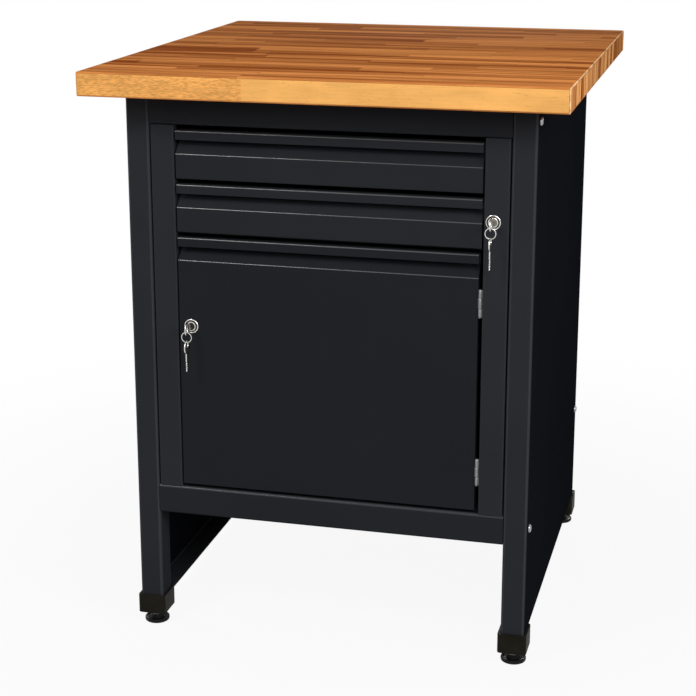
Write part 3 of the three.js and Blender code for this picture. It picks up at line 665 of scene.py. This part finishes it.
def split_ring(x, y, z):
    """Nearly two turns of flattened wire about a centre, closed at both ends."""
    steps, wire_sides = 96, 10
    radius, half_width, half_height = 0.0076, 0.00062, 0.00038
    first_offset, spread = 0.00036, 0.00072
    share_turned = 0.97
    bm = bmesh.new()
    loops = []
    for i in range(steps + 1):
        turn = 4 * math.pi * i / steps * share_turned
        aside = y - first_offset + spread * i / steps
        centre = Vector((x + radius * math.sin(turn), aside, z + radius * math.cos(turn)))
        outward = Vector((math.sin(turn), 0, math.cos(turn)))
        loops.append([
            bm.verts.new(
                centre + half_width * math.cos(a) * outward + half_height * math.sin(a) * Vector((0, 1, 0))
            )
            for a in (2 * math.pi * k / wire_sides for k in range(wire_sides))
        ])
    for near, far in zip(loops, loops[1:]):
        for k in range(wire_sides):
            after = (k + 1) % wire_sides
            bm.faces.new((near[k], near[after], far[after], far[k]))
    bm.faces.new(loops[0])
    bm.faces.new(loops[-1])
    return bm


key_steel = plated("key_plate", (0.66, 0.64, 0.60), 0.18)
bow_y = -0.3385
ring_drop, spare_drop = 0.0112, 0.0459
for lock, (x, z, _, _) in locks.items():
    inserted = Matrix(((0, 0, 1, x), (1, 0, 0, front_face), (0, 1, 0, z), (0, 0, 0, 1)))
    hanging = Matrix(((0, 0, 1, x), (0, 1, 0, bow_y), (-1, 0, 0, z - spare_drop), (0, 0, 0, 1)))
    for name, where, body in (
        (f"{lock}_key", inserted, f"{lock}_lock_core"),
        (f"{lock}_spare_key", hanging, f"{lock}_hanging_keys"),
    ):
        bm = bmesh.new()
        bm.from_mesh(flat_key(name))
        bmesh.ops.transform(bm, matrix=where, verts=bm.verts)
        piece(f"{name}_blank", bm, [key_steel], body, [name])
    bm = split_ring(x, bow_y, z - ring_drop)
    piece(f"{lock}_split_ring", bm, [nickel], f"{lock}_hanging_keys", [f"{lock}_key_ring"])

# Worktop: a laminated beech board, oiled. Upright staves run from side to side with staggered butt
# joints, so the ends show them as stripes and the front edge shows the face of one long stave.
half_depth = 0.375
stave_width = 0.0288
shortest_stave, length_spread = 0.24, 0.22
longest_stagger, run_offset = 0.46, 0.5
stagger_seed, length_seed, stave_seed = 1.713, 57.31, 2.0
figure_shift = 3.0
timber, given, place = surface_group("laminated_beech", ["Dark", "Light"])
along, depth, _ = wire(timber, "ShaderNodeSeparateXYZ", _0=place).outputs


def sums(operation, *values):
    """One operation in the timber group."""
    return maths(timber, operation, *values)


def chance_of(tree, number):
    """A chance that is fixed for each number."""
    return wire(
        tree, "ShaderNodeTexWhiteNoise", {"noise_dimensions": "1D"}, W=number,
    ).outputs["Value"]


def stretched(tree, place, factors):
    """A place drawn out by a factor along each axis."""
    return wire(tree, "ShaderNodeVectorMath", {"operation": "MULTIPLY"}, _0=place, _1=factors).outputs[0]


def off_middle(tree, number):
    """How far a number lies from the middle between whole numbers."""
    return maths(tree, "ABSOLUTE", maths(tree, "SUBTRACT", maths(tree, "FRACT", number), 0.5))


rows = sums("DIVIDE", sums("ADD", depth, half_depth), stave_width)
row = sums("FLOOR", rows)
stagger = sums("MULTIPLY", chance_of(timber, sums("MULTIPLY", row, stagger_seed)), longest_stagger)
longer = sums("MULTIPLY", chance_of(timber, sums("ADD", row, length_seed)), length_spread)
length = sums("ADD", longer, shortest_stave)
runs = sums("DIVIDE", sums("ADD", sums("ADD", along, run_offset), stagger), length)
stave = wire(timber, "ShaderNodeCombineXYZ", _0=row, _1=sums("FLOOR", runs), _2=stave_seed).outputs[0]
dice = wire(timber, "ShaderNodeTexWhiteNoise", {"noise_dimensions": "3D"}, Vector=stave).outputs
shift = scaled(timber, dice["Color"], figure_shift)
moved = wire(timber, "ShaderNodeVectorMath", {"operation": "ADD"}, _0=place, _1=shift).outputs[0]


def streaks(factors, detail, distortion=0.0):
    """Noise drawn out along the stave, different in each stave."""
    return noise(timber, stretched(timber, moved, factors), 1.0, detail, distortion)


broad_grain = streaks((2.0, 46.0, 46.0), 4.0, 0.4)
line_grain = streaks((2.6, 105.0, 105.0), 3.0, 0.3)
dark_line = streaks((1.7, 120.0, 120.0), 2.0)
fibre = streaks((26.0, 700.0, 700.0), 3.0)
ray = streaks((160.0, 900.0, 420.0), 1.0)
mixed = sums("ADD", sums("MULTIPLY", dice["Value"], 0.40), sums("MULTIPLY", broad_grain, 0.80))
mixed = sums("ADD", mixed, sums("MULTIPLY", sums("SUBTRACT", line_grain, 0.5), 1.0))
mixed = sums("ADD", mixed, sums("MULTIPLY", sums("SUBTRACT", fibre, 0.5), 0.35))
share = ramp(timber, mixed, 0.0, 1.0, 0.32, 0.88)
ray_fleck = ramp(timber, ray, 1.0, 0.80, 0.60, 0.72)
late_wood = ramp(timber, dark_line, 1.0, 0.62, 0.56, 0.68)
row_seam = ramp(timber, off_middle(timber, rows), 1.0, 0.72, 0.488, 0.497)
run_seam = ramp(timber, off_middle(timber, runs), 1.0, 0.68, 0.4985, 0.4995)
dim = sums("MULTIPLY", sums("MULTIPLY", row_seam, run_seam), sums("MULTIPLY", ray_fleck, late_wood))
wire(
    timber, "NodeGroupOutput",
    Color=scaled(timber, blended(timber, share, given["Dark"], given["Light"]), dim),
    Roughness=ramp(timber, fibre, 0.70, 0.84),
    Normal=bumped(timber, sums("MULTIPLY", fibre, dim), 0.15, 0.0003),
)


def beech(name, dark, light):
    """Laminated beech between two tones."""
    return finish_of(name, timber, {"Dark": (*dark, 1), "Light": (*light, 1)}, Specular_IOR_Level=0.012)


faces = beech("beech_faces", (0.238, 0.049, 0.0044), (0.800, 0.300, 0.081))
# The rounded edges at the ends take a lighter beech: a painted highlight.
end_arris_highlight = beech("beech_end_arris_highlight", (0.620, 0.330, 0.130), (1.000, 0.720, 0.420))


def speck(tree, place, factors, start, end, low=0.3, high=0.7):
    """Noise stretched over a face, turned into a gain."""
    return ramp(tree, noise(tree, stretched(tree, place, factors), 1.0, 3.0), start, end, low, high)


def grained(tree, principled, colour, gain, figure, darkest):
    """Finishes a timber face: colour by gain, gloss by figure, relief by gain."""
    for key, socket in (
        ("Base Color", scaled(tree, colour, gain)),
        ("Roughness", ramp(tree, figure, 0.84, 0.68, darkest, 1.05)),
        ("Normal", bumped(tree, gain, 0.12, 0.0003)),
    ):
        tree.links.new(socket, principled.inputs[key])


# The long stave along the front and back edges is in two lengths: the left one shows ray fleck, the
# right one is plainer, with a few short dark pores.
butt_joint, joint_blur = -0.105, 0.0002
edges, tree, principled = shader("beech_edges", Specular_IOR_Level=0.03)
place = object_place(tree)
across = wire(tree, "ShaderNodeSeparateXYZ", _0=place).outputs[0]
left = ramp(tree, across, 0.0, 1.0, butt_joint + joint_blur, butt_joint - joint_blur)
ray_fleck = speck(tree, place, (150.0, 1.0, 760.0), 1.10, 0.76, 0.40, 0.64)
pores = speck(tree, place, (150.0, 1.0, 900.0), 1.0, 0.78, 0.63, 0.72)
cloudy = speck(tree, place, (13.0, 1.0, 32.0), 0.88, 1.07)
fibre = speck(tree, place, (22.0, 1.0, 900.0), 0.95, 1.04)
figure = between(tree, left, pores, ray_fleck)
board = blended(tree, left, (0.810, 0.410, 0.117, 1), (0.800, 0.376, 0.102, 1))
gain = maths(tree, "MULTIPLY", maths(tree, "MULTIPLY", figure, cloudy), fibre)
grained(tree, principled, board, gain, figure, 0.76)

# The ends show each stave as a stripe, with its growth rings and the glue seams.
ends, tree, principled = shader("beech_ends", Specular_IOR_Level=0.0)
place = object_place(tree)
depth = wire(tree, "ShaderNodeSeparateXYZ", _0=place).outputs[1]
rows = maths(tree, "MULTIPLY", maths(tree, "ADD", depth, half_depth), 1 / stave_width)
chance = chance_of(tree, maths(tree, "FLOOR", rows))
rings = speck(tree, place, (1.0, 120.0, 7.0), 0.0, 1.0, 0.42, 0.58)
lines = speck(tree, place, (1.0, 420.0, 16.0), 0.86, 1.08)
blend = maths(tree, "MULTIPLY_ADD", chance, 0.60, maths(tree, "MULTIPLY", rings, 0.40))
stripe = ramp(tree, blend, 0.0, 1.0, 0.12, 0.86)
stripes = blended(tree, stripe, (0.260, 0.050, 0.005, 1), (1.000, 0.470, 0.165, 1))
seam = ramp(tree, off_middle(tree, rows), 1.0, 0.72, 0.475, 0.492)
grained(tree, principled, stripes, maths(tree, "MULTIPLY", lines, seam), lines, 0.86)

rounding = 0.0022
facing = 0.9
arris_least, arris_most = 0.3, 0.95
bm = bmesh.new()
low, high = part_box("worktop")
fill_box(bm, low, high)
for face in bm.faces:
    if abs(face.normal.y) > facing:
        face.material_index = 1
    elif abs(face.normal.x) > facing:
        face.material_index = 2
bmesh.ops.bevel(
    bm, geom=bm.edges[:], offset=rounding, segments=4, profile=0.5, affect="EDGES", clamp_overlap=True,
)
# Rounded faces at the ends take the painted highlight finish.
for face in bm.faces:
    if arris_least < abs(face.normal.x) < arris_most:
        face.material_index = 3
piece("worktop_board", bm, [faces, edges, ends, end_arris_highlight], "bench", ["worktop"])

# Worktop screws: zinc-plated button heads, driven up through the flanges of the side frames into the
# board, two on each side.
flange_sheet = 0.0022
screw_shank = 22.0
screw_rows = (-0.165, 0.135)
flange = low[2] - flange_sheet
spots = [((sign * leg_x, y, flange), (math.pi, 0, 0)) for sign in sides.values() for y in screw_rows]
set_out("worktop_screws", spots, button_head("worktop_screw", screw_shank), bolt_zinc, [])

# Studio: a camera in front, to the right of the bench and above it; a pale floor that fades into a
# white surround; a key lamp in front at the left, two broader lamps at the right, and two low ones
# at the left and behind, below the height of the worktop.
scene.view_settings.view_transform = "Standard"
sensor, picture, focal = 36.0, 696, 1684.8
tilt, heading = 14.792, 14.209
lens = bpy.data.cameras.new("camera")
lens.sensor_width = sensor
lens.lens = focal / picture * sensor
lens.shift_y = -0.08
lens.clip_end = 50
camera = linked("camera", lens)
camera.location = (0.6072, -2.5853, 1.1758)
camera.rotation_euler = (math.radians(90 - tilt), 0, math.radians(heading))
scene.camera = camera


def shown(tree):
    """1 for rays that look at the surround: from the camera, in a reflection or through glass."""
    path = wire(tree, "ShaderNodeLightPath").outputs
    direct = maths(tree, "MAXIMUM", path["Is Camera Ray"], path["Is Glossy Ray"])
    return maths(tree, "MAXIMUM", direct, path["Is Transmission Ray"])


world = bpy.data.worlds.new("surround")
scene.world = world
tree = cleared(world)
ambient = wire(tree, "ShaderNodeBackground", Color=(0.95, 0.97, 1.0, 1), Strength=0.22)
white = wire(tree, "ShaderNodeBackground", Color=(1, 1, 1, 1), Strength=1.0)
pick = wire(tree, "ShaderNodeMixShader", _0=shown(tree), _1=ambient.outputs[0], _2=white.outputs[0])
wire(tree, "ShaderNodeOutputWorld", Surface=pick.outputs[0])

floor_radius = 4.0
fade_start, fade_end = 0.4, 1.5
pale = bpy.data.materials.new("pale_floor")
tree = cleared(pale)
reach = wire(
    tree, "ShaderNodeVectorMath", {"operation": "LENGTH"}, _0=object_place(tree),
).outputs["Value"]
fade = wire(
    tree, "ShaderNodeMapRange", {"interpolation_type": "SMOOTHSTEP"},
    Value=reach, From_Min=fade_start, From_Max=fade_end,
).outputs[0]
glow = maths(tree, "MULTIPLY", ramp(tree, fade, 0.92, 1.0, 0.0, 1.0), shown(tree))
matte = wire(tree, "ShaderNodeBsdfDiffuse", Color=(0.55, 0.55, 0.55, 1))
lit = wire(tree, "ShaderNodeEmission", Color=(1, 1, 1, 1), Strength=1.0)
surface = wire(tree, "ShaderNodeMixShader", _0=glow, _1=matte.outputs[0], _2=lit.outputs[0])
wire(tree, "ShaderNodeOutputMaterial", Surface=surface.outputs[0])
bm = bmesh.new()
bmesh.ops.create_circle(bm, cap_ends=True, radius=floor_radius, segments=64)
floor = linked("floor", mesh_of("floor", bm, [pale]))

for name, place, aim, size, power in (
    ("key", (-1.2, -2.2, 2.6), (0.0, -0.2, 0.45), 0.8, 36),
    ("front", (1.1, -2.9, 2.1), (0.0, -0.3, 0.45), 1.4, 38),
    ("right", (2.4, -1.5, 1.9), (0.3, 0.0, 0.6), 1.2, 36),
    ("left", (-2.6, 0.4, 0.5), (-0.3, 0.0, 0.45), 0.8, 24),
    ("back", (-0.4, 3.0, 0.5), (0.0, 0.3, 0.45), 0.8, 30),
):
    lamp = bpy.data.lights.new(name, "AREA")
    lamp.shape = "SQUARE"
    lamp.size = size
    lamp.energy = power
    holder = linked(name, lamp)
    holder.location = place
    holder.rotation_euler = (Vector(aim) - Vector(place)).to_track_quat("-Z", "Y").to_euler()
